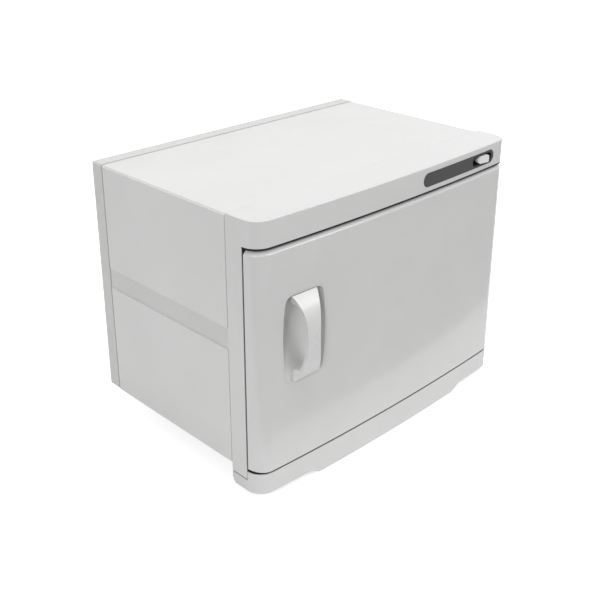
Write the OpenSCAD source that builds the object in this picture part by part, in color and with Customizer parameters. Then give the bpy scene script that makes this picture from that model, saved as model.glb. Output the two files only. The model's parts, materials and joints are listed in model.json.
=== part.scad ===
// Table-top hot towel cabinet: a bowed front frame and plinth, a painted steel casing, an aluminium
// chamber with two wire racks, and one insulated door hinged on its right side.
// Origin: middle of the footprint, on the surface that the feet stand on. +X right, +Y to the back.

/* [Cabinet] */
// Width over the front frame
cabinet_w = 450; // [440:1:470]
// Height from the standing surface to the top of the front frame
cabinet_h = 350; // [346:1:370]
// Depth from the front corners to the back of the rear cover
cabinet_d = 300; // [296:1:330]
// How far the middle of the front stands forward of its corners
front_bow = 6; // [4:0.5:8]
// Radius of the two vertical front corners, seen from above
corner_r = 22; // [21:1:25]
// Wall thickness of the plastic mouldings
wall = 3; // [2.5:0.1:3.5]

/* [Front frame] */
// Height of the band above the door
band_h = 31; // [29:1:34]
// Depth of the front frame, measured from the front corners
frame_d = 48; // [46:1:54]
// Distance from the front corners back to the face that the door closes on
frame_face = 22.5; // [22:0.1:24]
// Roundness of the band's top edge
band_edge_r = 2; // [1:0.5:3]

/* [Plinth] */
// Height of the plinth's top under the door
plinth_top = 37; // [36:0.5:38]
// Height of the plinth's lower edge at its sides
plinth_low = 10.5; // [9:0.5:12]
// Height of the deeper apron in the middle
apron_low = 3; // [2:0.5:5]
// Width of that apron along its lower edge
apron_w = 262; // [240:2:280]

/* [Casing] */
// How far the front frame stands proud of the casing's sides
casing_step = 2.5; // [2:0.5:4]
// Height of the casing's lower edge
casing_low = 34.5; // [34:0.5:36]
// Thickness of the sheet metal
sheet = 1; // [0.8:0.1:1.2]
// Height of the raised fields pressed into the casing's sides
emboss = 1.6; // [1:0.1:2]
// Depth of the rear cover
rear_cover_d = 19; // [17:1:22]

/* [Door] */
// Gap between the door's top and the band
gap_top = 3.6; // [3.3:0.1:4]
// Gap between the plinth and the door's lower edge
gap_low = 2; // [1.8:0.1:2.4]
// Distance from the front corners back to the door's inner face
door_d = 20; // [19:0.1:20]
// Height of the sloped edge along the door's top
door_lip = 5; // [3:0.5:5.5]
// Hinge pin radius
pin_r = 2.5; // [2:0.1:2.6]
// Radial clearance between hinge pin and bush
pin_fit = 0.05; // [0.03:0.01:0.08]

/* [Handle] */
// Middle of the handle, measured from the middle of the door
handle_x = -156; // [-160:1:-140]
// Width of the finger recess at half its height
cup_w = 64; // [60:1:68]
// Width of the finger recess at its top and bottom
cup_end = 54; // [52:1:58]
// Height of the finger recess
cup_h = 108; // [100:1:112]
// Width of the grip strap at its ends
strap_w = 38; // [34:1:38]
// Width of the grip strap at half its height
strap_waist = 19.5; // [17:0.5:24]
// How far the middle of the grip stands out from the door
strap_out = 16; // [12:0.5:18]

/* [Chamber] */
// Inside width of the chamber
chamber_w = 368; // [350:1:370]
// Height of the chamber's floor
chamber_floor = 58; // [57:1:60]
// Height of the chamber's ceiling
chamber_top = 298; // [292:1:299]
// Depth from the front corners to the chamber's back wall
chamber_d = 257; // [250:1:258]
// Height of the upper rack
upper_rack_z = 178; // [165:1:190]
// Height of the lower rack
lower_rack_z = 84; // [80:1:95]

/* [Switch] */
// Distance from the middle of the cabinet to the middle of the control panel
panel_x = 116; // [100:0.5:117]
// Length of the control panel
panel_w = 150; // [130:1:150]
// Height of the control panel
panel_h = 18; // [17:0.5:19]
// Length of the rocker
rocker_w = 21; // [18:1:24]
// Tilt of the rocker either side of straight
rocker_tilt = 8; // [5:1:9]

/* [Hidden] */

half_w = cabinet_w / 2;

// The bow is one arc that runs into both corner arcs without a kink
corner_x = half_w - corner_r;
bow_q = (corner_x * corner_x + front_bow * front_bow) / (2 * front_bow);
bow_r = bow_q + corner_r;
bow_a = asin(corner_x / bow_q);

// How far the grip stands in front of the corners, and the cord gland behind the rear cover
handle_reach = strap_out + front_bow - bow_r + sqrt(bow_r * bow_r - handle_x * handle_x);
rear_reach = 3;
front_y = (handle_reach - cabinet_d - rear_reach) / 2;
side_x = half_w - casing_step;      // the casing's side
casing_top = cabinet_h - 2;
casing_y0 = front_y + frame_d + 0.4;
cover_y0 = front_y + cabinet_d - rear_cover_d;
cover_y1 = front_y + cabinet_d;
casing_y1 = cover_y0 - 0.8;
face_y = front_y + frame_face;
frame_back = front_y + frame_d;
band_low = cabinet_h - band_h;

corner_y = front_y + corner_r;
bow_c = [0, front_y - front_bow + bow_r];

// Door
door_z0 = plinth_top + gap_low;
door_z1 = band_low - gap_top;
door_back = front_y + door_d;
pivot_y = front_y + 13;
pivot_x = half_w - 13.5;
pivot_r = corner_x + sqrt(corner_r * corner_r - pow(corner_y - pivot_y, 2)) - pivot_x;
bush_r = 4.4;
bush_len = 14;
bush_out = 1;
liner_x1 = half_w - 20.5;           // hinge side edge of the door's inner panel

// Chamber
ch_x = chamber_w / 2;
ch_z0 = chamber_floor;
ch_z1 = chamber_top;
ch_y1 = front_y + chamber_d;
liner_y0 = frame_back + 0.4;
panel_y = cover_y0 - 11;            // front face of the inner back panel

// Handle
cup_mid = (door_z0 + door_z1) / 2 + 22.5;
cup_floor = front_y + 11;
cup_r = 11;                         // corner radius of the recess
bowl_r = 140;                       // radius of the recess's hollow floor, seen from above
cup_t = 2;

// Switch
panel_z = band_low + band_h / 2 - 1;
rocker_x = panel_x + panel_w / 2 - 24.5;
rocker_y = bow_y(rocker_x) + 3.2;
rocker_h = 9.4;
well_x = rocker_x - 2.2;
well_w = rocker_w + 20.5;
well_h = 11;
ring_t = 1.1;                       // black rim round the rocker's well

gland_x = 150;
gland_z = 78;

function arc(c, r, a0, a1, n = 10) =
    [for (i = [0 : n]) c + r * [cos(a0 + (a1 - a0) * i / n), sin(a0 + (a1 - a0) * i / n)]];

// y of the bowed front at x, for an outline drawn in by inset
function bow_y(x, inset = 0) = bow_c[1] - sqrt(pow(bow_r - inset, 2) - x * x);

// The front seen from above: left corner, bow, right corner
function front_path(inset, a_left = 0, a_right = 0) = concat(
    arc([-corner_x, corner_y], corner_r - inset, 180 + a_left, 270 - bow_a),
    [for (i = [1 : 23]) bow_c + (bow_r - inset)
        * [cos(270 - bow_a + 2 * bow_a * i / 24), sin(270 - bow_a + 2 * bow_a * i / 24)]],
    arc([corner_x, corner_y], corner_r - inset, 270 + bow_a, 360 - a_right));

function front_outline(inset, y_back) =
    concat([[inset - half_w, y_back]], front_path(inset), [[half_w - inset, y_back]]);

// The door seen from above: its hinge edge is rounded about the pivot
function door_outline(inset) = let (
        r = corner_r - inset,
        a_left = asin((corner_y - door_back) / r),
        a_right = asin((corner_y - pivot_y) / r),
        a_end = asin((door_back - pivot_y) / pivot_r))
    concat(front_path(inset, a_left, a_right + 0.5),
        arc([pivot_x, pivot_y], pivot_r - inset, 0, a_end, 5));

// A rectangle with rounded corners, about the origin
function rounded(w, h, r, n = 8) = [for (q = [0 : 3]) for (i = [0 : n])
    [(q == 0 || q == 3 ? 1 : -1) * (w / 2 - r), (q < 2 ? 1 : -1) * (h / 2 - r)]
        + r * [cos(90 * q + 90 * i / n), sin(90 * q + 90 * i / n)]];

// A closed outline about the origin whose long sides bulge out from w_end to w
function barrel(w, w_end, h, r) = let (
        sag = (w - w_end) / 2,
        side_r = (h * h / 4 + sag * sag) / (2 * sag),
        c = side_r - w / 2,
        cz = h / 2 - r,
        cx = sqrt(pow(side_r - r, 2) - cz * cz) - c,
        a = asin(cz / (side_r - r)))
    concat([for (i = [1 : 13]) [-c, 0] + side_r * [cos(a * (i / 7 - 1)), sin(a * (i / 7 - 1))]],
        arc([cx, cz], r, a, 90, 5),
        arc([-cx, cz], r, 90, 180 - a, 5),
        [for (i = [1 : 13]) [c, 0] + side_r * [cos(180 + a * (i / 7 - 1)), sin(180 + a * (i / 7 - 1))]],
        arc([-cx, -cz], r, 180 + a, 270, 5),
        arc([cx, -cz], r, 270, 360 - a, 5));

function moved(pts, v) = [for (p = pts) p + v];

module box(lo, hi) {
    translate(lo) cube(hi - lo);
}

// An (x, y) outline between two heights
module slab(pts, z0, z1) {
    translate([0, 0, z0]) linear_extrude(z1 - z0) polygon(pts);
}

// An (x, z) outline between two depths
module prism_y(pts, y0, y1) {
    translate([0, y1, 0]) rotate([90, 0, 0]) linear_extrude(y1 - y0) polygon(pts);
}

// A (y, z) outline between two widths
module prism_x(pts, x0, x1) {
    translate([x0, 0, 0]) rotate([90, 0, 90]) linear_extrude(x1 - x0) polygon(pts);
}

module rod_x(x0, x1, y, z, r) {
    translate([x0, y, z]) rotate([0, 90, 0]) cylinder(h = x1 - x0, r = r, $fn = 48);
}

module rod_y(x, y0, y1, z, r) {
    translate([x, y0, z]) rotate([-90, 0, 0]) cylinder(h = y1 - y0, r = r, $fn = 48);
}

module rod_z(x, y, z0, z1, r) {
    translate([x, y, z0]) cylinder(h = z1 - z0, r = r, $fn = 48);
}

// A pan-head screw along +Z with its head below the origin
module screw(len, r = 2, head_r = 3.8, head_h = 2) {
    difference() {
        union() {
            cylinder(h = len, r = r, $fn = 32);
            translate([0, 0, -head_h]) cylinder(h = head_h, r = head_r, $fn = 48);
        }
        translate([-2.4, -0.5, -head_h - 1]) cube([4.8, 1, 2.1]);
        translate([-0.5, -2.4, -head_h - 1]) cube([1, 4.8, 2.1]);
    }
}

// ---- Housing ----

module band_solid() {
    hull() {
        slab(front_outline(0, frame_back), band_low, cabinet_h - band_edge_r);
        slab(front_outline(band_edge_r * 0.3, frame_back), band_low, cabinet_h - band_edge_r * 0.3);
        slab(front_outline(band_edge_r, frame_back), band_low, cabinet_h);
    }
}

module front_frame() {
    color("whitesmoke") difference() {
        union() {
            band_solid();
            box([-half_w, face_y, post_z0], [half_w, frame_back, band_low + 1]);
        }
        // the opening into the chamber
        box([-ch_x, face_y - 1, ch_z0], [ch_x, frame_back + 1, ch_z1]);
        // hollow of the band
        slab(front_outline(wall, frame_back + 1), band_low + wall, cabinet_h - wall);
        // hollow behind the face, around the throat
        difference() {
            box([wall - half_w, face_y + wall, post_z0 + wall],
                [half_w - wall, frame_back + 1, band_low + wall + 1]);
            box([-ch_x - wall, face_y, ch_z0 - wall], [ch_x + wall, frame_back + 2, ch_z1 + wall]);
            box([pivot_x - 14, face_y, 0], [half_w, face_y + 2 * wall, band_low]);
            box([-half_w, face_y, catch_z0 - 4],
                [-ch_x - 2, face_y + catch_t + wall, catch_z1 + 4]);
        }
        // shallow groove that the door's hinge edge turns in
        rod_z(pivot_x, pivot_y, post_z0 + 5, band_low - 0.01, pivot_r + 0.6);
        // window for the control panel
        prism_y(moved(rounded(panel_w, panel_h, panel_h / 2 - 0.1), [panel_x, panel_z]),
            front_y - 20, corner_y);
        // clearance for the upper hinge pin and its screws
        rod_z(pivot_x, pivot_y, band_low - 1, band_low + wall + 1, pin_r + 0.4);
        for (x = hinge_screw_x) rod_z(x, hinge_screw_y, band_low - 1, band_low + wall + 1, 2.1);
        // seat of the catch magnet
        box([catch_x0 - 0.1, face_y - 1, catch_z0 - 0.1],
            [catch_x1 + 0.1, face_y + catch_t, catch_z1 + 0.1]);
        // holes for the plinth's screws
        for (x = plinth_screw_x) rod_z(x, plinth_screw_y, post_z0 - 1, post_z0 + wall + 1, 2.1);
    }
}

catch_x0 = -half_w + 9;
catch_x1 = catch_x0 + 12;
catch_z0 = (door_z0 + door_z1) / 2 - 30;
catch_z1 = catch_z0 + 60;
catch_t = 6;
hinge_screw_x = [pivot_x - 18, pivot_x - 32];
hinge_screw_y = pivot_y + 0.5;
plinth_screw_x = [-205, -120, 120, 205];
plinth_screw_y = face_y + 13;
plinth_step = plinth_top - 12;
post_z0 = plinth_step + 1.5;        // foot of the frame's side posts

// Black rubber in the gaps: lips above and below the door, a strip beside its free edge, and pads
// between frame and plinth at the sides
module lip_ring(inset, z0, z1) {
    difference() {
        slab(front_outline(inset, face_y), z0, z1);
        slab(front_outline(4.2, face_y + 1), z0 - 1, z1 + 1);
    }
}

module gap_seals() {
    color([0.06, 0.06, 0.06]) union() {
        lip_ring(0.5, band_low - gap_top + 1.1, band_low);
        lip_ring(1.2, plinth_top, plinth_top + gap_low - 0.9);
        box([1.2 - half_w, face_y - 1.2, plinth_top], [4.2 - half_w, face_y, band_low]);
        for (s = [-1, 1]) box([s * (half_w - 5) - 4, face_y + 1, plinth_step],
            [s * (half_w - 5) + 4, frame_back - 1, post_z0]);
    }
}

module base_plinth() {
    back = frame_back;
    rear_r = 12;
    side = concat([[front_y - 20, -1], [front_y - 20, plinth_top], [face_y - 1, plinth_top],
            [face_y - 1, plinth_step], [back, plinth_step]],
        arc([back - rear_r, plinth_low + rear_r - 2], rear_r, 0, -60, 6), [[back - rear_r, apron_low]],
        [[back - rear_r, -1]]);
    lower = [[-half_w, plinth_top], [-half_w, plinth_low], [-apron_w / 2 - 14, plinth_low],
        [-apron_w / 2, apron_low], [apron_w / 2, apron_low], [apron_w / 2 + 14, plinth_low],
        [half_w, plinth_low], [half_w, plinth_top]];
    color("white") difference() {
        intersection() {
            slab(front_outline(0, back), apron_low - 1, plinth_top);
            prism_x(side, -half_w, half_w);
            prism_y(lower, front_y - 20, back);
        }
        slab(front_outline(wall, back - wall), 0, plinth_step - wall);
        intersection() {
            slab(front_outline(wall, back), 0, plinth_top - wall);
            box([-half_w, front_y - 20, 0], [half_w, face_y - 1 - wall, cabinet_h]);
        }
        rod_z(pivot_x, pivot_y, plinth_top - wall - 1, plinth_top + 1, pin_r + 0.4);
        for (x = hinge_screw_x) rod_z(x, hinge_screw_y, plinth_top - wall - 1, plinth_top + 1, 2.1);
        for (x = plinth_screw_x) rod_z(x, plinth_screw_y, plinth_step - wall - 1, plinth_step + 1, 2.1);
    }
}

// One raised field of the casing's side, pressed out by the emboss height
module side_field(s, z0, z1, inset, x0, x1) {
    box([min(s * x0, s * x1), casing_y0 + 2 + inset, z0 + inset],
        [max(s * x0, s * x1), casing_y1 - 2 - inset, z1 - inset]);
}

module outer_casing() {
    mid = (casing_low + casing_top) / 2;
    lo = casing_low;
    fields = [[lo + 1.5, lo + 150.5], [lo + 177.5, casing_top - 1.5]];
    color("gainsboro") difference() {
        union() {
            difference() {
                prism_y(moved(rounded(2 * side_x, casing_top - lo, 1.5), [0, mid]), casing_y0, casing_y1);
                prism_y(moved(rounded(2 * (side_x - sheet), casing_top - lo - 2 * sheet, 0.5), [0, mid]),
                    casing_y0 - 1, casing_y1 + 1);
                box([-side_x + 16, casing_y0 - 1, lo - 1], [side_x - 16, casing_y1 + 1, lo + sheet + 1]);
            }
            for (s = [-1, 1]) for (f = fields)
                side_field(s, f[0], f[1], 0, side_x - sheet, side_x + emboss);
        }
        for (s = [-1, 1]) for (f = fields)
            side_field(s, f[0], f[1], sheet, side_x - sheet - 1, side_x + emboss - sheet);
    }
}

module rear_cover() {
    h = casing_top + 1 - casing_low;
    mid = casing_low + h / 2;
    t = 2;
    w = 2 * side_x + 2;
    color("white") difference() {
        union() {
            difference() {
                prism_y(moved(rounded(w, h, 3.5), [0, mid]), cover_y0, cover_y1);
                prism_y(moved(rounded(w - 2 * t, h - 2 * t, 1.5), [0, mid]), cover_y0 - 1, cover_y1 - t);
            }
            for (x = cover_screw_x) for (z = cover_screw_z) rod_y(x, cover_y0 - 9.5, cover_y1 - 1, z, 6);
        }
        for (x = cover_screw_x) for (z = cover_screw_z) {
            rod_y(x, cover_y0 - 20, cover_y1 + 1, z, 2.2);
            rod_y(x, cover_y1 - 3, cover_y1 + 1, z, 4.5);
        }
        for (s = [-1, 1]) for (i = [0 : 7])
            box([s * 100 - 40, cover_y1 - t - 1, 232 + 11 * i], [s * 100 + 40, cover_y1 + 1, 236 + 11 * i]);
        rod_y(gland_x, cover_y1 - t - 1, cover_y1 + 1, gland_z, 8.1);
    }
}

cover_screw_x = [12 - side_x, side_x - 12];
cover_screw_z = [casing_low + 16, (casing_low + casing_top) / 2, casing_top - 16];
feet_x = [-148, 148];
feet_y = [front_y + 78, front_y + cabinet_d - 58];
foot_h = 6;
plate_z = casing_low + sheet + 0.1;

module base_plate() {
    color("silver") difference() {
        box([3 - side_x, face_y + 2 * wall + 0.5, plate_z], [side_x - 3, casing_y1, plate_z + 1.2]);
        for (x = feet_x) for (y = feet_y) rod_z(x, y, plate_z - 1, plate_z + 3, 2.1);
    }
}

module back_panel() {
    color("silver") difference() {
        box([3 - side_x, panel_y, plate_z + 1.3], [side_x - 3, panel_y + 1.2, ch_z1 + 33]);
        for (x = cover_screw_x) for (z = cover_screw_z) rod_y(x, panel_y - 1, panel_y + 3, z, 2.1);
        rod_y(thermostat_at[0], panel_y - 1, panel_y + 3, thermostat_at[1], 8);
        rod_y(lead_x, panel_y - 1, panel_y + 3, ch_z1 - 13, 8);
    }
}

module inner_liner() {
    t = sheet;
    color("lightgray") difference() {
        union() {
            box([-ch_x - t, liner_y0, ch_z0 - t], [ch_x + t, ch_y1 + t, ch_z1 + t]);
            box([-ch_x - 12, liner_y0, ch_z0 - 9], [ch_x + 12, liner_y0 + t, ch_z1 + 9]);
        }
        box([-ch_x, liner_y0 - 1, ch_z0], [ch_x, ch_y1, ch_z1]);
        for (s = [-1, 1]) rod_y(s * holder_x, ch_y1 - 1, ch_y1 + t + 1, lamp_z, 2.1);
        rod_y(lead_x, ch_y1 - 1, ch_y1 + t + 1, ch_z1 - 13, 5);
    }
}

module rack_rails() {
    color("lightgray") for (s = [-1, 1]) for (z = [upper_rack_z, lower_rack_z]) {
        x0 = s > 0 ? ch_x - 11 : -ch_x;
        box([x0, frame_back + 8, z - 1.5], [x0 + 11, ch_y1 - 8, z]);
        xw = s > 0 ? ch_x - 1.5 : -ch_x;
        box([xw, frame_back + 8, z - 10], [xw + 1.5, ch_y1 - 8, z - 0.5]);
    }
}

// ---- Heating, light and wiring ----

// (x, z) of the parts on the chamber's back wall and on the inner back panel
thermostat_at = [110, 200];
fuse_at = [60, 120];
ballast_at = [-85, 204];
starter_at = [8, 206];
terminal_at = [92, 107];
lead_x = 30;                        // where the lamp's leads pass through the walls
holder_x = 138;
lamp_y = ch_y1 - 20;
lamp_z = ch_z1 - 18;

module heater_mat() {
    color("orange") box([-150, frame_back + 22, ch_z0 - sheet - 1.7], [150, ch_y1 - 20, ch_z0 - sheet]);
}

module insulation_top() {
    color("khaki") box([-ch_x, casing_y0 + 3, ch_z1 + sheet + 0.3], [ch_x, ch_y1, ch_z1 + sheet + 24]);
}

module insulation_sides() {
    color("khaki") for (s = [-1, 1]) {
        x0 = s > 0 ? ch_x + sheet + 0.3 : 2 - side_x + 4;
        box([x0, casing_y0 + 3, plate_z + 2], [x0 + side_x - 6 - ch_x - sheet - 0.3, ch_y1, ch_z1]);
    }
}

module insulation_rear() {
    color("khaki") difference() {
        box([-ch_x, ch_y1 + sheet + 0.2, plate_z + 2], [ch_x, panel_y - 0.3, ch_z1 + 20]);
        for (p = [thermostat_at, [lead_x, ch_z1 - 13], fuse_at])
            rod_y(p[0], ch_y1, panel_y + 1, p[1], 11);
        for (s = [-1, 1]) rod_y(s * holder_x, ch_y1, panel_y + 1, lamp_z, 6);
    }
}

module insulation_bottom() {
    color("khaki") box([-ch_x, casing_y0 + 3, plate_z + 3], [ch_x, ch_y1, ch_z0 - sheet - 2]);
}

module thermostat() {
    x = thermostat_at[0];
    z = thermostat_at[1];
    y0 = ch_y1 + sheet;
    color("dimgray") union() {
        rod_y(x, y0 + 0.05, y0 + 5, z, 8);
        rod_y(x, y0 + 4, y0 + 8, z, 5.5);
        for (s = [-3, 3]) box([x + s - 1.2, y0 + 7, z - 2], [x + s + 1.2, y0 + 11, z + 2]);
    }
}

module thermal_fuse() {
    x = fuse_at[0];
    color("silver") union() {
        rod_x(x - 6, x + 6, ch_y1 + sheet + 2.2, fuse_at[1], 2);
        rod_x(x - 10, x + 10, ch_y1 + sheet + 2.2, fuse_at[1], 0.6);
    }
}

module uv_lamp_tube() {
    color("aliceblue") union() {
        rod_x(4 - holder_x, holder_x - 4, lamp_y, lamp_z, 7.8);
        for (x = [4 - holder_x, holder_x - 4]) for (d = [-2.5, 2.5])
            rod_x(x < 0 ? x - 6 : x, x < 0 ? x : x + 6, lamp_y, lamp_z + d, 0.6);
    }
}

module uv_lamp_holders() {
    color("white") for (s = [-1, 1]) difference() {
        union() {
            box([s * holder_x - 3, lamp_y - 9, lamp_z - 11], [s * holder_x + 3, ch_y1 - 0.1, lamp_z + 11]);
            box([s * holder_x - 7, ch_y1 - 4, lamp_z - 11], [s * holder_x + 7, ch_y1 - 0.1, lamp_z + 11]);
        }
        for (d = [-2.5, 2.5]) rod_x(s * holder_x - 4, s * holder_x + 4, lamp_y, lamp_z + d, 0.7);
    }
}

// A welded cage of bent wire in front of the lamp
module uv_lamp_guard() {
    r = 1.2;
    y0 = lamp_y - 15;
    color("silver") union() {
        for (z = [lamp_z - 14, lamp_z, lamp_z + 13]) rod_x(-152, 152, y0, z, r);
        for (i = [-4 : 4]) rod_z(i * 37, y0 - 1.8, lamp_z - 14, lamp_z + 13, r);
        for (x = [-150, 150]) for (z = [lamp_z - 13.5, lamp_z + 12.5]) rod_y(x, y0, ch_y1 - 0.05, z, r);
    }
}

// A box on the inner back panel, centred on an (x, z) point
module on_panel(at, w, h, y0, y1) {
    y = panel_y + 1.3;
    box([at[0] - w / 2, y + y0, at[1] - h / 2], [at[0] + w / 2, y + y1, at[1] + h / 2]);
}

module uv_ballast() {
    color("slategray") union() {
        on_panel(ballast_at, 90, 36, 0, 22);
        on_panel(ballast_at, 118, 28, 0, 1.5);
    }
}

module uv_starter() {
    color("white") union() {
        on_panel(starter_at, 28, 28, 0, 4);
        rod_y(starter_at[0], panel_y + 4, panel_y + 21, starter_at[1], 10);
    }
}

module terminal_block() {
    poles = 6;
    pitch = 10.4;
    color("ivory") difference() {
        on_panel(terminal_at, 64, 18, 0, 14);
        for (i = [0 : poles - 1]) {
            x = terminal_at[0] + (i - (poles - 1) / 2) * pitch;
            rod_y(x, panel_y + 9, panel_y + 17, terminal_at[1], 2.6);
            if (i > 0) on_panel([x - pitch / 2, terminal_at[1]], 1, 20, 10, 15);
        }
    }
}

// A bundle of wires through the given points
module wires(pts, r) {
    for (i = [0 : len(pts) - 2]) hull() {
        translate(pts[i]) sphere(r = r, $fn = 10);
        translate(pts[i + 1]) sphere(r = r, $fn = 10);
    }
}

module wiring_loom() {
    back = panel_y + 8;
    over = ch_z1 + 40;
    x = terminal_at[0];
    z = terminal_at[1] + 12.5;
    color("dimgray") wires([[x, back - 1, z], [x, back, z + 30], [x - 32, back, z + 50],
        [x - 32, back, z + 120], [x - 12, back, over - 38], [x - 2, back, over],
        [x + 4, panel_y - 20, over], [x + 12, front_y + 90, over], [rocker_x, front_y + 60, over],
        [rocker_x, front_y + 32, panel_z]], 2.6);
}

// A shell between two insets from the bowed front, cut to an (x, z) outline
module front_skin(pts, out, in) {
    intersection() {
        prism_y(pts, front_y - 20, corner_y);
        difference() {
            slab(front_outline(out, frame_back), panel_z - 20, panel_z + 20);
            slab(front_outline(in, frame_back + 1), panel_z - 21, panel_z + 21);
        }
    }
}

// An (x, z) outline round the rocker's well, grown by g
function well_outline(g) =
    moved(rounded(well_w + 2 * g, well_h + 2 * g, well_h / 2 - 0.2 + g), [well_x, panel_z]);

module switch_body() {
    color([0.08, 0.08, 0.09]) difference() {
        union() {
            front_skin(well_outline(ring_t), -0.2, 8);
            box([well_x - well_w / 2, rocker_y + 3.4, panel_z - 7],
                [well_x + well_w / 2, front_y + 28, panel_z + 7]);
        }
        prism_y(well_outline(0), front_y - 20, rocker_y + 8);
        rod_z(rocker_x, rocker_y, panel_z - 6.8, panel_z + 6.8, 1.25);
    }
}

module switch_rocker() {
    w = rocker_w / 2;
    crown = [for (i = [1 : 7]) [-w + i * w / 4, -5.8 - 0.72 * pow((i - 4) / 4, 2)]];
    face = concat([[-w, 1], [-w, -4.4]], crown, [[w, -4.4], [w, 1], [5, 3.5], [-5, 3.5]]);
    color("white") translate([rocker_x, rocker_y, 0]) rotate([0, 0, -rocker_tilt]) union() {
        intersection() {
            slab(face, panel_z - rocker_h / 2, panel_z + rocker_h / 2);
            prism_y(moved(rounded(rocker_w, rocker_h, rocker_h / 2 - 0.4), [0, panel_z]), -20, 20);
        }
        rod_z(0, 0, panel_z - 6.5, panel_z + 6.5, 1.2);
    }
}

module control_panel() {
    face = moved(rounded(panel_w - 0.4, panel_h - 0.4, panel_h / 2 - 0.3), [panel_x, panel_z]);
    flange = moved(rounded(panel_w + 6, panel_h + 4, panel_h / 2), [panel_x, panel_z]);
    color([0.33, 0.34, 0.35]) difference() {
        union() {
            front_skin(face, -0.3, wall + 1.4);
            front_skin(flange, wall + 0.1, wall + 1.4);
        }
        prism_y(well_outline(ring_t + 0.2), front_y - 20, corner_y);
    }
}

lamp_x = [panel_x - 42, panel_x - 20];
board_y = bow_y(panel_x - 30) + wall + 12;

module indicator_board() {
    color("seagreen") difference() {
        box([panel_x - 58, board_y, panel_z - 9], [panel_x - 4, board_y + 1.6, panel_z + 9]);
        for (x = lamp_x) for (d = [-1.3, 1.3]) rod_y(x + d, board_y - 1, board_y + 3, panel_z, 0.4);
    }
}

module indicator_lamps() {
    color("orangered") for (x = lamp_x) translate([x, board_y, panel_z]) rotate([90, 0, 0]) union() {
        cylinder(h = 1, r = 3, $fn = 32);
        cylinder(h = 5, r = 2.5, $fn = 32);
        translate([0, 0, 5]) sphere(r = 2.5, $fn = 32);
        for (d = [-1.3, 1.3]) translate([d, 0, -3.5]) cylinder(h = 4, r = 0.3, $fn = 16);
    }
}

// ---- Hinge and catch ----

module catch_magnet() {
    color("dimgray") box([catch_x0, face_y, catch_z0], [catch_x1, face_y + catch_t, catch_z1]);
}

module catch_plate() {
    color("silver") box([catch_x0 + 0.5, door_back - 1.5, catch_z0], [catch_x1 - 0.5, door_back, catch_z1]);
}

module bracket(z0, z1) {
    color("silver") difference() {
        slab(moved(rounded(50, 9.6, 4), [pivot_x - 19, pivot_y + 0.5]), z0, z1);
        rod_z(pivot_x, pivot_y, z0 - 1, z1 + 1, pin_r + 0.03);
        for (x = hinge_screw_x) rod_z(x, hinge_screw_y, z0 - 1, z1 + 1, 2.05);
    }
}

top_plate_z = band_low + wall;
low_plate_z = plinth_top - wall - 2;

module hinge_bracket_top() {
    bracket(top_plate_z, top_plate_z + 2);
}

module hinge_bracket_bottom() {
    bracket(low_plate_z, low_plate_z + 2);
}

module hinge_pin_top() {
    color("silver") union() {
        rod_z(pivot_x, pivot_y, door_z1 - bush_len + 2, top_plate_z + 3, pin_r);
        rod_z(pivot_x, pivot_y, top_plate_z + 2, top_plate_z + 4.5, pin_r + 2);
    }
}

module hinge_pin_bottom() {
    color("silver") union() {
        rod_z(pivot_x, pivot_y, low_plate_z - 1, door_z0 + bush_len - 2, pin_r);
        rod_z(pivot_x, pivot_y, low_plate_z - 2.5, low_plate_z, pin_r + 2);
    }
}

// A nylon bush between two heights
module bush(z0, z1) {
    color("ivory") difference() {
        rod_z(pivot_x, pivot_y, z0, z1, bush_r);
        rod_z(pivot_x, pivot_y, z0 - 1, z1 + 1, pin_r + pin_fit);
    }
}

// Each bush stands out of the door's end by bush_out
module hinge_bush_top() {
    bush(door_z1 - bush_len, door_z1 + bush_out);
}

module hinge_bush_bottom() {
    bush(door_z0 - bush_out, door_z0 + bush_len);
}

module hinge_screws() {
    color("silver") for (x = hinge_screw_x) {
        translate([x, hinge_screw_y, band_low]) screw(wall + 4, 2, 3.6, 1.2);
        translate([x, hinge_screw_y, low_plate_z]) screw(wall + 1.4);
    }
}

// ---- Feet and fasteners ----

module feet() {
    color("dimgray") for (x = feet_x) for (y = feet_y) difference() {
        translate([x, y, foot_h]) cylinder(h = plate_z - foot_h, r1 = 11, r2 = 13, $fn = 64);
        rod_z(x, y, 0, plate_z + 1, 2.1);
    }
}

module foot_pads() {
    color("black") for (x = feet_x) for (y = feet_y) translate([x, y, 0]) difference() {
        rotate_extrude($fn = 64)
            polygon([[5, 0], [10, 0], [11.5, 1.5], [11.5, foot_h], [2.1, foot_h], [2.1, 3.5], [5, 3.5]]);
    }
}

module foot_screws() {
    color("silver") for (x = feet_x) for (y = feet_y) translate([x, y, 3.4]) screw(plate_z + 2.5 - 3.4);
}

module rear_cover_screws() {
    color("silver") for (x = cover_screw_x) for (z = cover_screw_z)
        translate([x, cover_y1 - 3, z]) rotate([90, 0, 0]) screw(cover_y1 - 3 - panel_y + 3, 2, 3.8, 2);
}

module plinth_screws() {
    color("silver") for (x = plinth_screw_x)
        translate([x, plinth_screw_y, plinth_step - wall]) screw(2 * wall + 4);
}

module cord_gland() {
    color("black") difference() {
        union() {
            rod_y(gland_x, cover_y1 - 12, cover_y1, gland_z, 8);
            rod_y(gland_x, cover_y1, cover_y1 + rear_reach, gland_z, 11);
            rod_y(gland_x, cover_y1 - 7, cover_y1 - 2.1, gland_z, 11);
        }
        rod_y(gland_x, cover_y1 - 13, cover_y1 + rear_reach + 1, gland_z, 3.8);
    }
}

// ---- Racks and tray ----

rack_x = ch_x - 4.5;
rack_y0 = front_y + 42;
rack_y1 = ch_y1 - 9;

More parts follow.
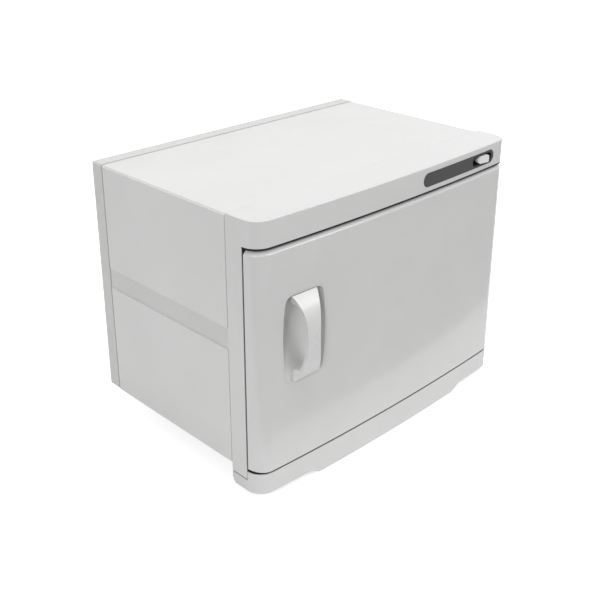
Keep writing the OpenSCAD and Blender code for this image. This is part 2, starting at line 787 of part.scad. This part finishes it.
// A welded wire shelf that stands with its lowest point at z
module wire_rack(z) {
    r = 1.9;
    n = 14;
    bend = 10;
    zc = z + r;
    x = rack_x - r;
    color("silver") union() {
        for (s = [-1, 1]) rod_y(s * x, rack_y0 + r + bend, rack_y1 - r - bend, zc, r);
        for (y = [rack_y0 + r, rack_y1 - r]) rod_x(-x + bend, x - bend, y, zc, r);
        for (c = [[x - bend, rack_y1 - r - bend, 0], [-x + bend, rack_y1 - r - bend, 90],
                [-x + bend, rack_y0 + r + bend, 180], [x - bend, rack_y0 + r + bend, 270]])
            translate([c[0], c[1], zc]) rotate([0, 0, c[2]])
                rotate_extrude(angle = 90, $fn = 96) translate([bend, 0]) circle(r = r, $fn = 32);
        for (i = [1 : n]) rod_y(-x + i * 2 * x / (n + 1), rack_y0 + 0.6, rack_y1 - 0.6, zc + 2.4, 1.2);
        rod_x(-x + 0.3, x - 0.3, (rack_y0 + rack_y1) / 2, zc + 0.3, 1.6);
    }
}

module upper_rack() {
    wire_rack(upper_rack_z + 0.3);
}

module lower_rack() {
    wire_rack(lower_rack_z + 0.3);
}

module drip_tray() {
    x = ch_x - 6;
    y0 = front_y + 41;
    z = ch_z0 + 0.3;
    mid = (y0 + rack_y1) / 2;
    d = rack_y1 - y0;
    color("lightgray") difference() {
        union() {
            translate([0, mid, 0]) slab(rounded(2 * x - 8, d - 8, 8), z, z + 13);
            translate([0, mid, 0]) slab(rounded(2 * x, d, 10), z + 12, z + 13);
        }
        translate([0, mid, 0]) slab(rounded(2 * x - 10, d - 10, 7), z + 1, z + 14);
    }
}

// ---- Door ----

corner_rise = 2.5;                  // how far the lower edge rises towards the door's free corner

module door_solid() {
    low = 0.8;
    rise = [for (i = [0 : 6]) [-corner_x - corner_r * i / 6, door_z0 + corner_rise * pow(i / 6, 2)]];
    color("white") difference() {
        hull() {
            slab(door_outline(low), door_z0, door_z0 + 1);
            slab(door_outline(low * 0.3), door_z0 + low * 0.3, door_z0 + low * 0.3 + 1);
            slab(door_outline(0), door_z0 + low, door_z1 - 1.15 * door_lip);
            // inset and drop of the sloped edge, in parts of its height
            for (p = [[0.12, 0.85], [0.85, 0.12], [1, 0]])
                slab(door_outline(door_lip * p[0]), door_z1 - 2 * door_lip, door_z1 - door_lip * p[1]);
        }
        prism_y(concat([[-corner_x, door_z0 - 1]], rise, [[-half_w - 1, door_z0 + corner_rise],
            [-half_w - 1, door_z0 - 1]]), front_y - 20, door_back + 1);
    }
}

module cup_block(grow, y0, y1) {
    prism_y(moved(barrel(cup_w + 2 * grow, cup_end + 2 * grow, cup_h + 2 * grow, cup_r + grow),
        [handle_x, cup_mid]), y0, y1);
}

module door_shell() {
    in = wall;
    z0 = door_z0 + wall;
    z1 = door_z1 - wall - 1;
    boss_x = pivot_x - 9;
    rear = door_back + 1;
    path = door_outline(in);
    color("white") difference() {
        door_solid();
        // hollow for the insulation, open at the back
        intersection() {
            slab(path, z0, z1);
            box([-half_w, front_y - 20, z0], [boss_x, rear, z1]);
        }
        intersection() {
            slab(path, door_z0 + bush_len + 3, door_z1 - bush_len - 3);
            box([0, front_y - 20, 0], [half_w, door_back - wall, cabinet_h]);
        }
        box([wall - half_w + 0.8, door_back - 4, z0], [liner_x1, rear, z1]);
        // finger recess
        cup_block(cup_t + 0.15, front_y - 20, door_back + 1);
        // seats of the hinge bushes
        rod_z(pivot_x, pivot_y, door_z1 - bush_len, door_z1 + 1, bush_r);
        rod_z(pivot_x, pivot_y, door_z0 - 1, door_z0 + bush_len, bush_r);
    }
}

plug_x = ch_x - 9;
plug_z0 = ch_z0 + 9;
plug_z1 = ch_z1 - 9;
plug_y = front_y + 27;
seal_w = 8;
seal_in = 6;

// The ring that the gasket fills: an (x, z) frame just outside the chamber's mouth
module seal_ring(grow, y0, y1) {
    mid = (ch_z0 + ch_z1) / 2;
    w = 2 * (ch_x + seal_in);
    h = ch_z1 - ch_z0 + 2 * 4;
    difference() {
        prism_y(moved(rounded(w + 2 * seal_w - 4 + grow, h + 2 * seal_w - 4 + grow, 8), [0, mid]), y0, y1);
        prism_y(moved(rounded(w - 2 - grow, h - 2 - grow, 4), [0, mid]), y0 - 1, y1 + 1);
    }
}

module door_liner() {
    t = 2;
    z0 = door_z0 + wall + 0.4;
    z1 = door_z1 - wall - 1.4;
    x0 = wall - half_w + 1.2;
    mid = (plug_z0 + plug_z1) / 2;
    color("gainsboro") difference() {
        union() {
            box([x0, door_back - 3, z0], [liner_x1 - 0.4, door_back, z1]);
            prism_y(moved(rounded(2 * plug_x, plug_z1 - plug_z0, 12), [0, mid]), door_back - 1, plug_y);
        }
        prism_y(moved(rounded(2 * plug_x - 2 * t, plug_z1 - plug_z0 - 2 * t, 10), [0, mid]),
            door_back - 4, plug_y - t);
        seal_ring(0.1, door_back - 1.5, door_back + 1);
        box([catch_x0 + 0.4, door_back - 1.5, catch_z0 - 0.1],
            [catch_x1 - 0.4, door_back + 1, catch_z1 + 0.1]);
        for (p = liner_screws) rod_y(p[0], door_back - 4, door_back + 1, p[1], 1.6);
    }
}

door_mid = (door_z0 + door_z1) / 2;
liner_screws = [for (x = [-ch_x - 28, ch_x + 16.4])
    for (z = [door_z0 + 16, door_mid + (x < 0 ? 60 : 0), door_z1 - 16]) [x, z]];

module door_liner_screws() {
    color("silver") for (p = liner_screws) translate([p[0], door_back, p[1]]) rotate([90, 0, 0])
        screw(door_d - 14, 1.5, 2.6, 1);
}

module door_gasket() {
    color("dimgray") seal_ring(0, door_back - 1.5, face_y - 0.4);
}

module door_insulation() {
    path = door_outline(wall + 0.5);
    color("khaki") difference() {
        intersection() {
            slab(path, door_z0 + wall + 0.5, door_z1 - wall - 1.5);
            box([-half_w, front_y - 20, door_z0], [pivot_x - 10, door_back - 3.2, door_z1]);
        }
        cup_block(cup_t + 0.8, front_y - 20, door_back + 1);
        for (p = liner_screws) rod_y(p[0], door_back - 8, door_back, p[1], 3);
    }
}

// Handle, in (y, z): the strap's front bulges, its rear follows it, and both ends lie on a seat
strap_surface = bow_y(handle_x);
strap_t = 4.2;
strap_seat = strap_surface + 3.5;
strap_top = cup_mid + cup_h / 2 - 1.2;
strap_low = cup_mid - cup_h / 2 + 3;
strap_mid = (strap_top + strap_low) / 2;
strap_half = (strap_top - strap_low) / 2;
strap_foot = 4;                     // how far the lower end stands proud of the door
seat_h = 11;                        // height of each seat
ramp_h = 88;                        // height over which the recess's floor slopes
ramp_y = strap_surface + 0.4;       // where that slope comes up to the door's surface
strap_n = 16;
strap_screw_z = [cup_mid - cup_h / 2 + 8, cup_mid + cup_h / 2 - 6];

// y of the strap's front at t, which runs from -1 at its lower end to 1 at its top
function strap_y(t) = strap_surface - strap_out
    + (strap_out - (t < 0 ? strap_foot : 0)) * pow(abs(t), 3);

// Half the strap's width at t
function strap_x(t) = strap_waist / 2 + (strap_w - strap_waist) / 2 * pow(abs(t), 2.5);

// The strap's outline seen from the front, grown by g
function strap_outline(g) = concat(
    [for (i = [-strap_n : strap_n])
        [handle_x + strap_x(i / strap_n) + g, strap_mid + (strap_half + g) * i / strap_n]],
    [for (i = [strap_n : -1 : -strap_n])
        [handle_x - strap_x(i / strap_n) - g, strap_mid + (strap_half + g) * i / strap_n]]);

// The space in the recess: its floor is hollow, and comes up to the door's surface at the lower end
module cup_space() {
    low = cup_mid - cup_h / 2;
    top = cup_mid + cup_h / 2;
    ramp = [for (i = [0 : 8])
        [ramp_y + (cup_floor - ramp_y) * sin(90 * i / 8), low + 1 + ramp_h * i / 8]];
    section = concat([[front_y - 20, low - 5], [ramp_y, low - 5]], ramp,
        [[cup_floor, top + 5], [front_y - 20, top + 5]]);
    intersection() {
        cup_block(0, front_y - 20, cup_floor);
        prism_x(section, handle_x - cup_w, handle_x + cup_w);
        translate([handle_x, cup_floor - bowl_r, low - 5]) cylinder(h = cup_h + 10, r = bowl_r, $fn = 240);
    }
}

module handle_cup() {
    ledge = strap_w / 2 - 3;
    color("whitesmoke") difference() {
        intersection() {
            cup_block(cup_t, front_y - 20, cup_floor + cup_t);
            slab(door_outline(0), door_z0, door_z1);
        }
        difference() {
            cup_space();
            box([handle_x - ledge, strap_seat, cup_mid + cup_h / 2 - seat_h],
                [handle_x + ledge, cup_floor + 1, cup_mid + cup_h / 2 + 1]);
        }
        // pocket for the strap's foot
        intersection() {
            prism_y(strap_outline(0.15), front_y - 20, strap_seat);
            box([handle_x - strap_w, front_y - 20, strap_low - 1],
                [handle_x + strap_w, corner_y, strap_low + seat_h]);
        }
        for (z = strap_screw_z) rod_y(handle_x, strap_seat - 1, cup_floor + cup_t + 1, z, 1.6);
    }
}

module handle_strap() {
    outer = [for (i = [-strap_n : strap_n]) [strap_y(i / strap_n), strap_mid + strap_half * i / strap_n]];
    inner = [for (i = [12 : -1 : -12])
        [strap_y(i / strap_n) + strap_t, strap_mid + strap_half * i / strap_n]];
    rear = concat([[strap_seat, strap_top], [strap_seat, strap_top - seat_h]], inner,
        [[strap_seat, strap_low + seat_h], [strap_seat, strap_low]]);
    color("white") difference() {
        intersection() {
            prism_x(concat(outer, rear), handle_x - strap_w / 2, handle_x + strap_w / 2);
            prism_y(strap_outline(0), front_y - 40, corner_y);
        }
        for (z = strap_screw_z) rod_y(handle_x, strap_seat - 3, corner_y, z, 1.5);
    }
}

module handle_screws() {
    color("silver") for (z = strap_screw_z) translate([handle_x, cup_floor + cup_t, z]) rotate([90, 0, 0])
        screw(cup_floor + cup_t - strap_seat + 2.4, 1.5, 3, 1.6);
}

front_frame();
base_plinth();
gap_seals();
outer_casing();
rear_cover();
base_plate();
back_panel();
inner_liner();
rack_rails();
heater_mat();
insulation_top();
insulation_sides();
insulation_rear();
insulation_bottom();
thermostat();
thermal_fuse();
uv_lamp_tube();
uv_lamp_holders();
uv_lamp_guard();
uv_ballast();
uv_starter();
terminal_block();
wiring_loom();
switch_body();
control_panel();
indicator_board();
indicator_lamps();
catch_magnet();
hinge_bracket_top();
hinge_bracket_bottom();
hinge_pin_top();
hinge_pin_bottom();
cord_gland();
feet();
foot_pads();
foot_screws();
rear_cover_screws();
plinth_screws();
hinge_screws();
switch_rocker();
upper_rack();
lower_rack();
drip_tray();
door_shell();
door_liner();
door_insulation();
door_gasket();
handle_cup();
handle_strap();
handle_screws();
catch_plate();
hinge_bush_top();
hinge_bush_bottom();
door_liner_screws();
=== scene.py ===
import json
import math

import bpy
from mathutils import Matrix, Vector

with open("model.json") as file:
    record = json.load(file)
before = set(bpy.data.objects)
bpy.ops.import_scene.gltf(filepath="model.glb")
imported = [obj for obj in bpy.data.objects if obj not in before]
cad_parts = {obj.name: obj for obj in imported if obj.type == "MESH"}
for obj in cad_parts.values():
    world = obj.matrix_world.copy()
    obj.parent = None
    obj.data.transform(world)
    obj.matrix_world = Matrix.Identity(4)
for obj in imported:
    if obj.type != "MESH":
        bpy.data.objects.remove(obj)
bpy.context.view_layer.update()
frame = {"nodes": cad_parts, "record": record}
nodes = frame["nodes"]
MM = 0.001


# ---- Camera ----

CAMERA_PLACE = (-0.8228, -0.8178, 0.7057)
CAMERA_AZIMUTH, CAMERA_ELEVATION = -44.41, 22.46
CAMERA_LENS = 57.24
CAMERA_SHIFT = -0.1


def place_camera():
    """The view from the front left, a little above the top."""
    azimuth, elevation = math.radians(CAMERA_AZIMUTH), math.radians(CAMERA_ELEVATION)
    back = Vector((math.sin(azimuth) * math.cos(elevation),
                   -math.cos(azimuth) * math.cos(elevation), math.sin(elevation)))
    data = bpy.data.cameras.new("camera")
    data.sensor_width = 36.0
    data.lens = CAMERA_LENS
    data.shift_y = CAMERA_SHIFT
    data.clip_start = 0.05
    camera = bpy.data.objects.new("camera", data)
    camera.location = Vector(CAMERA_PLACE)
    camera.rotation_mode = "QUATERNION"
    camera.rotation_quaternion = (-back).to_track_quat("-Z", "Y")
    bpy.context.scene.collection.objects.link(camera)
    bpy.context.scene.camera = camera


place_camera()


# ---- Materials ----

NOISE_LOW, NOISE_HIGH = 0.35, 0.65
BAND_BLUR = 1             # softness of the painted shade band's limits, in mm
FLOOR_BLUR = 0.012        # softness of the floor's darker part at its edge, in metres


class Shader:
    """A Principled material whose detail comes from noise in object coordinates, in metres."""

    def __init__(self, name, color, rough, metal=0.0, **sockets):
        self.mat = bpy.data.materials.new(name)
        self.mat.use_nodes = True
        self.tree = self.mat.node_tree
        self.bsdf = self.tree.nodes["Principled BSDF"]
        self.color = color
        self.rough = rough
        self.bsdf.inputs["Base Color"].default_value = (*color, 1.0)
        self.bsdf.inputs["Roughness"].default_value = rough
        self.bsdf.inputs["Metallic"].default_value = metal
        for key, value in sockets.items():
            self.bsdf.inputs[key.replace("_", " ")].default_value = value
        self.coords = self.tree.nodes.new("ShaderNodeTexCoord").outputs["Object"]
        self.height = None

    def node(self, kind, **settings):
        made = self.tree.nodes.new(kind)
        for key, value in settings.items():
            setattr(made, key, value)
        return made

    def link(self, a, b):
        self.tree.links.new(a, b)

    def noise(self, scale, detail=3.0, stretch=(1, 1, 1)):
        """Noise with about `scale` cells a metre."""
        mapping = self.node("ShaderNodeMapping")
        mapping.inputs["Scale"].default_value = stretch
        tex = self.node("ShaderNodeTexNoise")
        tex.inputs["Scale"].default_value = scale
        tex.inputs["Detail"].default_value = detail
        self.link(self.coords, mapping.inputs["Vector"])
        self.link(mapping.outputs["Vector"], tex.inputs["Vector"])
        return tex.outputs["Fac"]

    def cells(self, scale):
        """Distance to the middle of the nearest of about `scale` random cells a metre."""
        tex = self.node("ShaderNodeTexVoronoi", feature="F1")
        tex.inputs["Scale"].default_value = scale
        self.link(self.coords, tex.inputs["Vector"])
        return tex.outputs["Distance"]

    def ramp(self, fac, low, high):
        """Turns the middle of a noise's values, NOISE_LOW..NOISE_HIGH, into low..high."""
        mapped = self.node("ShaderNodeMapRange")
        mapped.inputs["From Min"].default_value = NOISE_LOW
        mapped.inputs["From Max"].default_value = NOISE_HIGH
        mapped.inputs["To Min"].default_value = low
        mapped.inputs["To Max"].default_value = high
        self.link(fac, mapped.inputs["Value"])
        return mapped.outputs["Result"]

    def vary_color(self, fac, other):
        """Mixes another colour into the base colour where fac is high."""
        mix = self.node("ShaderNodeMix", data_type="RGBA")
        mix.inputs["A"].default_value = (*self.color, 1.0)
        mix.inputs["B"].default_value = (*other, 1.0)
        self.link(self.ramp(fac, 0.0, 1.0), mix.inputs["Factor"])
        self.link(mix.outputs["Result"], self.bsdf.inputs["Base Color"])

    def paint_shade_between(self, low, high, k):
        """Multiplies the colour by k between two heights in mm, with soft limits: painted shade."""
        split = self.node("ShaderNodeSeparateXYZ")
        self.link(self.coords, split.inputs["Vector"])
        offset = self.node("ShaderNodeMath", operation="SUBTRACT")
        offset.inputs[1].default_value = (low + high) / 2 * MM
        self.link(split.outputs["Z"], offset.inputs[0])
        away = self.node("ShaderNodeMath", operation="ABSOLUTE")
        self.link(offset.outputs[0], away.inputs[0])
        step = self.node("ShaderNodeMapRange", interpolation_type="SMOOTHSTEP")
        half = (high - low) / 2
        step.inputs["From Min"].default_value = (half - BAND_BLUR) * MM
        step.inputs["From Max"].default_value = (half + BAND_BLUR) * MM
        step.inputs["To Min"].default_value = k
        step.inputs["To Max"].default_value = 1.0
        self.link(away.outputs[0], step.inputs["Value"])
        self.scale_color(step.outputs["Result"])

    def darken_before(self, edge, k):
        """Multiplies the colour by the output k where y is less than edge, in metres."""
        split = self.node("ShaderNodeSeparateXYZ")
        self.link(self.coords, split.inputs["Vector"])
        step = self.node("ShaderNodeMapRange", interpolation_type="SMOOTHSTEP")
        step.inputs["From Min"].default_value = edge - FLOOR_BLUR
        step.inputs["From Max"].default_value = edge + FLOOR_BLUR
        self.link(k, step.inputs["To Min"])
        step.inputs["To Max"].default_value = 1.0
        self.link(split.outputs["Y"], step.inputs["Value"])
        self.scale_color(step.outputs["Result"])

    def scale_color(self, factor):
        """Multiplies what already feeds the base colour by the output factor."""
        scale = self.node("ShaderNodeVectorMath", operation="SCALE")
        self.link(self.bsdf.inputs["Base Color"].links[0].from_socket, scale.inputs[0])
        self.link(factor, scale.inputs["Scale"])
        self.link(scale.outputs["Vector"], self.bsdf.inputs["Base Color"])

    def vary_rough(self, fac, spread):
        """Lets the roughness follow fac by spread either way."""
        self.link(self.ramp(fac, self.rough - spread, self.rough + spread), self.bsdf.inputs["Roughness"])

    def bump(self, fac, depth_mm):
        bump = self.node("ShaderNodeBump")
        bump.inputs["Distance"].default_value = depth_mm * MM
        bump.inputs["Strength"].default_value = 1.0
        self.link(fac, bump.inputs["Height"])
        if self.height:
            self.link(self.height, bump.inputs["Normal"])
        self.height = bump.outputs["Normal"]
        self.link(self.height, self.bsdf.inputs["Normal"])


def shade(color, k):
    """The colour times k, with no channel over 1."""
    return tuple(min(1.0, c * k) for c in color)


def gloss_plastic(name, color, rough=0.2, coat=0.0, coat_rough=0.05):
    s = Shader(name, color, rough, IOR=1.5, Coat_Weight=coat, Coat_Roughness=coat_rough)
    s.vary_color(s.noise(14, 4), shade(color, 0.97))
    s.vary_rough(s.noise(45, 2), 0.03)
    s.bump(s.noise(60, 1), 0.012)
    s.bump(s.noise(1200, 2), 0.003)
    return s.mat


def textured_plastic(name, color, rough=0.5, grain=1500, depth=0.03):
    s = Shader(name, color, rough, IOR=1.48)
    s.vary_color(s.noise(60, 5), shade(color, 0.965))
    s.vary_rough(s.noise(120, 4), 0.05)
    s.bump(s.noise(grain, 3), depth)
    return s.mat


def powder_coat(name, color, band=None):
    """Satin paint. A band gives the two heights in mm between which the pressing lies deeper, with painted
    shade darkening the paint there.
    """
    s = Shader(name, color, 0.38, IOR=1.5)
    s.vary_color(s.noise(9, 4), shade(color, 0.965))
    if band:
        # painted shade: the band's paint is darkened to stand in for the shade in the pressing
        s.paint_shade_between(band[0], band[1], 0.9)
    s.vary_rough(s.noise(60, 4), 0.04)
    s.bump(s.noise(900, 2), 0.03)
    s.bump(s.noise(3500, 1), 0.006)
    return s.mat


def brushed(name, color, rough, stretch):
    s = Shader(name, color, rough, 1.0)
    lines = s.noise(90, 6, stretch)
    s.vary_color(lines, shade(color, 0.86))
    s.vary_rough(lines, 0.08)
    s.bump(lines, 0.006)
    return s.mat


def galvanised(name, color):
    s = Shader(name, color, 0.42, 1.0)
    spangle = s.cells(220)
    s.vary_color(spangle, shade(color, 0.8))
    s.vary_rough(spangle, 0.08)
    s.bump(s.noise(400, 3), 0.01)
    return s.mat


def plated(name, color, rough):
    s = Shader(name, color, rough, 1.0)
    s.vary_color(s.noise(70, 4), shade(color, 0.88))
    s.vary_rough(s.noise(300, 4), rough * 0.4)
    s.bump(s.noise(500, 2), 0.008)
    return s.mat


def rubber(name, color, rough=0.7):
    s = Shader(name, color, rough, IOR=1.45)
    s.vary_color(s.noise(150, 5), shade(color, 1.35))
    s.vary_rough(s.noise(90, 4), 0.08)
    s.bump(s.noise(1800, 3), 0.03)
    return s.mat


def foam(name, color):
    s = Shader(name, color, 0.95, IOR=1.3)
    s.vary_color(s.cells(350), shade(color, 0.8))
    s.vary_rough(s.noise(200, 4), 0.04)
    s.bump(s.cells(350), 0.5)
    return s.mat


def tube_glass(name, color):
    s = Shader(name, color, 0.08, IOR=1.46, Transmission_Weight=0.85)
    s.vary_color(s.noise(30, 3), shade(color, 0.95))
    s.vary_rough(s.noise(80, 4), 0.03)
    s.bump(s.noise(60, 2), 0.01)
    return s.mat


MATERIALS = {name: make(name, *look) for name, make, *look in (
    ("white_abs", gloss_plastic, (0.66, 0.66, 0.655), 0.2, 1.0),
    ("grip_white", gloss_plastic, (0.72, 0.72, 0.715), 0.3, 0.6, 0.2),
    # the casing's paint is darker between these heights: painted shade
    ("painted_steel", powder_coat, (0.71, 0.71, 0.705), (185, 212)),
    ("rear_plastic", textured_plastic, (0.64, 0.64, 0.63), 0.48),
    ("galvanised", galvanised, (0.60, 0.61, 0.62)),
    ("liner_aluminium", brushed, (0.78, 0.79, 0.80), 0.3, (0.6, 12, 12)),
    ("chrome_wire", plated, (0.78, 0.78, 0.79), 0.12),
    ("steel_screws", plated, (0.60, 0.60, 0.58), 0.3),
    # black_rubber also colours the near-black strips set in the gaps round the door, which stand in for the
    # shade in those gaps: painted shade
    ("black_rubber", rubber, (0.012, 0.012, 0.012), 0.85),
    ("grey_rubber", rubber, (0.30, 0.30, 0.30), 0.6),
    ("foam", foam, (0.75, 0.72, 0.62)),
    ("smoked_panel", gloss_plastic, (0.062, 0.063, 0.066), 0.22),
    ("switch_black", textured_plastic, (0.012, 0.012, 0.013), 0.4),
    ("rocker_white", gloss_plastic, (0.80, 0.80, 0.79), 0.18),
    ("nylon", textured_plastic, (0.76, 0.74, 0.66), 0.45),
    ("dark_plastic", textured_plastic, (0.06, 0.06, 0.065), 0.5),
    ("lamp_glass", tube_glass, (0.90, 0.93, 0.95)),
    ("lamp_ends", textured_plastic, (0.84, 0.84, 0.82), 0.4, 900, 0.02),
    ("silicone", rubber, (0.60, 0.20, 0.05), 0.5),
    ("wire_sleeve", rubber, (0.08, 0.08, 0.09), 0.5),
    ("circuit_board", textured_plastic, (0.02, 0.18, 0.07), 0.35),
    ("lamp_lens", gloss_plastic, (0.60, 0.06, 0.03), 0.1),
    ("ballast_can", powder_coat, (0.50, 0.51, 0.53)),
    ("magnet_black", textured_plastic, (0.03, 0.03, 0.033), 0.6),
)}
SLOT_OF = {part["node"]: part["material_slot"] for part in frame["record"]["subparts"]}

# Edge rounding in mm; the rest get FINE_EDGE, apart from wires, tubes and lamps, which are left as they are
EDGE = {"front_frame": 0.6, "base_plinth": 1.2, "outer_casing": 0.5, "rear_cover": 0.8, "door_shell": 0.5,
        "handle_cup": 0.8, "handle_strap": 1.0, "switch_rocker": 0.7, "control_panel": 0.4, "feet": 0.8}
FINE_EDGE = 0.25
SHARP_FROM = 35           # edges that bend by more than this many degrees are rounded
UNBEVELLED = ("upper_rack", "lower_rack", "uv_lamp_guard", "wiring_loom", "uv_lamp_tube", "indicator_lamps")


def finish_node(name, obj):
    """Gives a CAD node its material, rounded edges and smooth shading, and leaves its mesh as it is."""
    obj.data.materials.clear()
    obj.data.materials.append(MATERIALS[SLOT_OF[name]])
    for polygon in obj.data.polygons:
        polygon.use_smooth = True
    weld = obj.modifiers.new("weld", "WELD")
    weld.merge_threshold = 0.005 * MM
    if name in UNBEVELLED:
        return
    planar = obj.modifiers.new("planar", "DECIMATE")
    planar.decimate_type = "DISSOLVE"
    planar.angle_limit = math.radians(0.1)
    bevel = obj.modifiers.new("edges", "BEVEL")
    bevel.width = EDGE.get(name, FINE_EDGE) * MM
    bevel.segments = 3
    bevel.limit_method = "ANGLE"
    bevel.angle_limit = math.radians(SHARP_FROM)
    bevel.harden_normals = True
    normals = obj.modifiers.new("normals", "WEIGHTED_NORMAL")
    normals.mode = "FACE_AREA"
    normals.weight = 90
    normals.keep_sharp = True


for node_name, node_obj in nodes.items():
    finish_node(node_name, node_obj)


# ---- Floor and light ----

FLOOR_SIZE = 12.0
FLOOR_EDGE_Y = -0.25      # in front of this the floor is darker in reflections, though not to the camera
FLOOR_FRONT = 0.5         # how bright that part is, next to the rest
FLOOR_GLOW = 0.62         # what the camera sees added, so that the floor reads white
WORLD_LIGHT, WORLD_SEEN = 0.4, 1.0


def backdrop_strength(tree, low, high, rays):
    """A strength that is high for the named rays and low for the light it gives."""
    path = tree.nodes.new("ShaderNodeLightPath")
    strength = tree.nodes.new("ShaderNodeMapRange")
    strength.inputs["To Min"].default_value = low
    strength.inputs["To Max"].default_value = high
    seen = path.outputs[rays[0]]
    for name in rays[1:]:
        either = tree.nodes.new("ShaderNodeMath")
        either.operation = "MAXIMUM"
        tree.links.new(seen, either.inputs[0])
        tree.links.new(path.outputs[name], either.inputs[1])
        seen = either.outputs[0]
    tree.links.new(seen, strength.inputs["Value"])
    return strength.outputs["Result"]


def make_floor():
    half = FLOOR_SIZE / 2
    square = [(-half, -half, 0), (half, -half, 0), (half, half, 0), (-half, half, 0)]
    mesh = bpy.data.meshes.new("floor")
    mesh.from_pydata(square, [], [(0, 1, 2, 3)])
    floor = bpy.data.objects.new("floor", mesh)
    bpy.context.scene.collection.objects.link(floor)
    s = Shader("floor", (0.93, 0.93, 0.93), 0.6)
    s.vary_color(s.noise(3, 3), (0.91, 0.91, 0.91))
    s.darken_before(FLOOR_EDGE_Y, backdrop_strength(s.tree, FLOOR_FRONT, 1.0, ["Is Camera Ray"]))
    s.bsdf.inputs["Emission Color"].default_value = (1, 1, 1, 1)
    glow = backdrop_strength(s.tree, 0.0, FLOOR_GLOW, ["Is Camera Ray"])
    s.link(glow, s.bsdf.inputs["Emission Strength"])
    mesh.materials.append(s.mat)


def area_light(name, location, target, size, power):
    """A rectangular lamp aimed at target: places and sizes in metres, power in watts."""
    data = bpy.data.lights.new(name, "AREA")
    data.shape = "RECTANGLE"
    data.size, data.size_y = size
    data.energy = power
    light = bpy.data.objects.new(name, data)
    light.location = location
    light.rotation_euler = (Vector(target) - Vector(location)).to_track_quat("-Z", "Y").to_euler()
    bpy.context.scene.collection.objects.link(light)


def make_light():
    """A white surround, a wide lamp above, a key on the left and a wide one in front on the right."""
    world = bpy.data.worlds.new("studio")
    bpy.context.scene.world = world
    world.use_nodes = True
    world.node_tree.nodes["Background"].inputs["Color"].default_value = (1, 1, 1, 1)
    strength = backdrop_strength(world.node_tree, WORLD_LIGHT, WORLD_SEEN, ["Is Camera Ray", "Is Glossy Ray"])
    world.node_tree.links.new(strength, world.node_tree.nodes["Background"].inputs["Strength"])
    middle = (0, 0, 0.15)
    area_light("top", (0.1, -0.1, 1.9), middle, (1.5, 1.5), 17)
    area_light("key", (-2.2, -1.3, 1.7), (-0.1, -0.15, 0.2), (0.45, 0.45), 22.5)
    area_light("front_right", (1.2, -2.2, 1.4), (0, -0.2, 0.1), (1.4, 1.2), 18.5)


make_floor()
make_light()
bpy.context.scene.view_settings.view_transform = "Standard"
